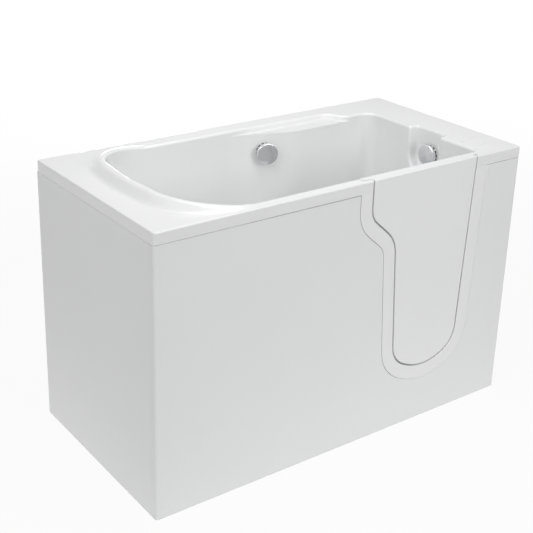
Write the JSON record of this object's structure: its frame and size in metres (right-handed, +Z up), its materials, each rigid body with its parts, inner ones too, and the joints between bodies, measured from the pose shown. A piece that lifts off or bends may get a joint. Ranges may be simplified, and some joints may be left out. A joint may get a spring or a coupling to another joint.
{
  "type": "sit-in bathtub with door",
  "caption": "Deep rectangular sit-in bathtub with a moulded seat, rolled headrest, inward-opening side door with a latch, and twist knobs that lift the waste plugs.",
  "frame": {"origin": "on the floor under the middle of the tub's plan box", "axes": "+X along the tub from the head end to the door end, +Y from the door front to the wall behind, +Z up"},
  "size_m": [1.4, 0.7, 0.9319],
  "materials": {
    "acrylic": "gloss",
    "panel": "gloss",
    "frame_steel": "satin galvanised",
    "timber": "raw board",
    "black_plastic": "moulded",
    "zinc_steel": "zinc plated",
    "chrome": "polished",
    "seal_rubber": "soft pale",
    "pipe_plastic": "moulded white"
  },
  "bodies": {
    "tub": {"tub_shell": "acrylic", "front_panel": "panel", "left_panel": "panel", "long_rails": "frame_steel", "cross_rails": "frame_steel", "corner_posts": "frame_steel", "top_rails": "frame_steel", "seat_legs": "frame_steel", "seat_bearers": "frame_steel", "front_batten": "timber", "left_batten": "timber", "base_board": "timber", "seat_board": "timber", "rail_end_caps": "black_plastic", "foot_pads": "black_plastic", "foot_studs": "zinc_steel", "foot_locknuts": "zinc_steel", "panel_clips": "zinc_steel", "hinge_pins": "zinc_steel", "hinge_tub_screws": "zinc_steel", "keeper_screws": "zinc_steel", "hinge_tub_leaves": "chrome", "latch_keeper": "chrome", "end_overflow_rose": "chrome", "end_waste_flange": "chrome", "back_overflow_rose": "chrome", "back_waste_flange": "chrome", "end_overflow_seal": "seal_rubber", "end_waste_seal": "seal_rubber", "back_overflow_seal": "seal_rubber", "back_waste_seal": "seal_rubber", "waste_link_pipe": "pipe_plastic", "waste_outlet_pipe": "pipe_plastic", "end_overflow_body": "pipe_plastic", "end_overflow_pipe": "pipe_plastic", "end_waste_body": "pipe_plastic", "back_overflow_body": "pipe_plastic", "back_overflow_pipe": "pipe_plastic", "back_waste_body": "pipe_plastic"},
    "door": {"door_outer_shell": "acrylic", "door_inner_shell": "acrylic", "door_core": "timber", "door_seal": "seal_rubber", "hinge_door_leaves": "chrome", "hinge_door_screws": "zinc_steel", "latch_rose": "chrome"},
    "latch": {"latch_spindle": "zinc_steel", "latch_cam": "chrome", "latch_handle": "chrome"},
    "end_knob": {"end_overflow_knob": "chrome"},
    "end_plug": {"end_waste_plug": "chrome"},
    "back_knob": {"back_overflow_knob": "chrome"},
    "back_plug": {"back_waste_plug": "chrome"}
  },
  "joints": [
    {"name": "door_swing", "type": "hinge", "parent": "tub", "child": "door", "pos_m": [0.528, -0.297, 0.59], "axis": [0, 0, -1], "range_deg": [0, 85]},
    {"name": "latch_turn", "type": "hinge", "parent": "door", "child": "latch", "pos_m": [0.08, -0.309, 0.832], "axis": [0, 1, 0], "range_deg": [0, 90]},
    {"name": "end_knob_turn", "type": "hinge", "parent": "tub", "child": "end_knob", "pos_m": [0.575, -0.06499, 0.812], "axis": [-1, 0, 0], "range_deg": [0, 90]},
    {"name": "end_plug_lift", "type": "slide", "parent": "tub", "child": "end_plug", "axis": [0, 0, 1], "range_m": [0, 0.012]},
    {"name": "back_knob_turn", "type": "hinge", "parent": "tub", "child": "back_knob", "pos_m": [0.10248, 0.251, 0.815], "axis": [-0.353, -0.9356, 0], "range_deg": [0, 90]},
    {"name": "back_plug_lift", "type": "slide", "parent": "tub", "child": "back_plug", "axis": [0, 0, 1], "range_m": [0, 0.012]}
  ],
  "couplings": [
    {"joint": "end_plug_lift", "follows": "end_knob_turn", "m_per_rad": 0.0076},
    {"joint": "back_plug_lift", "follows": "back_knob_turn", "m_per_rad": 0.0076}
  ]
}
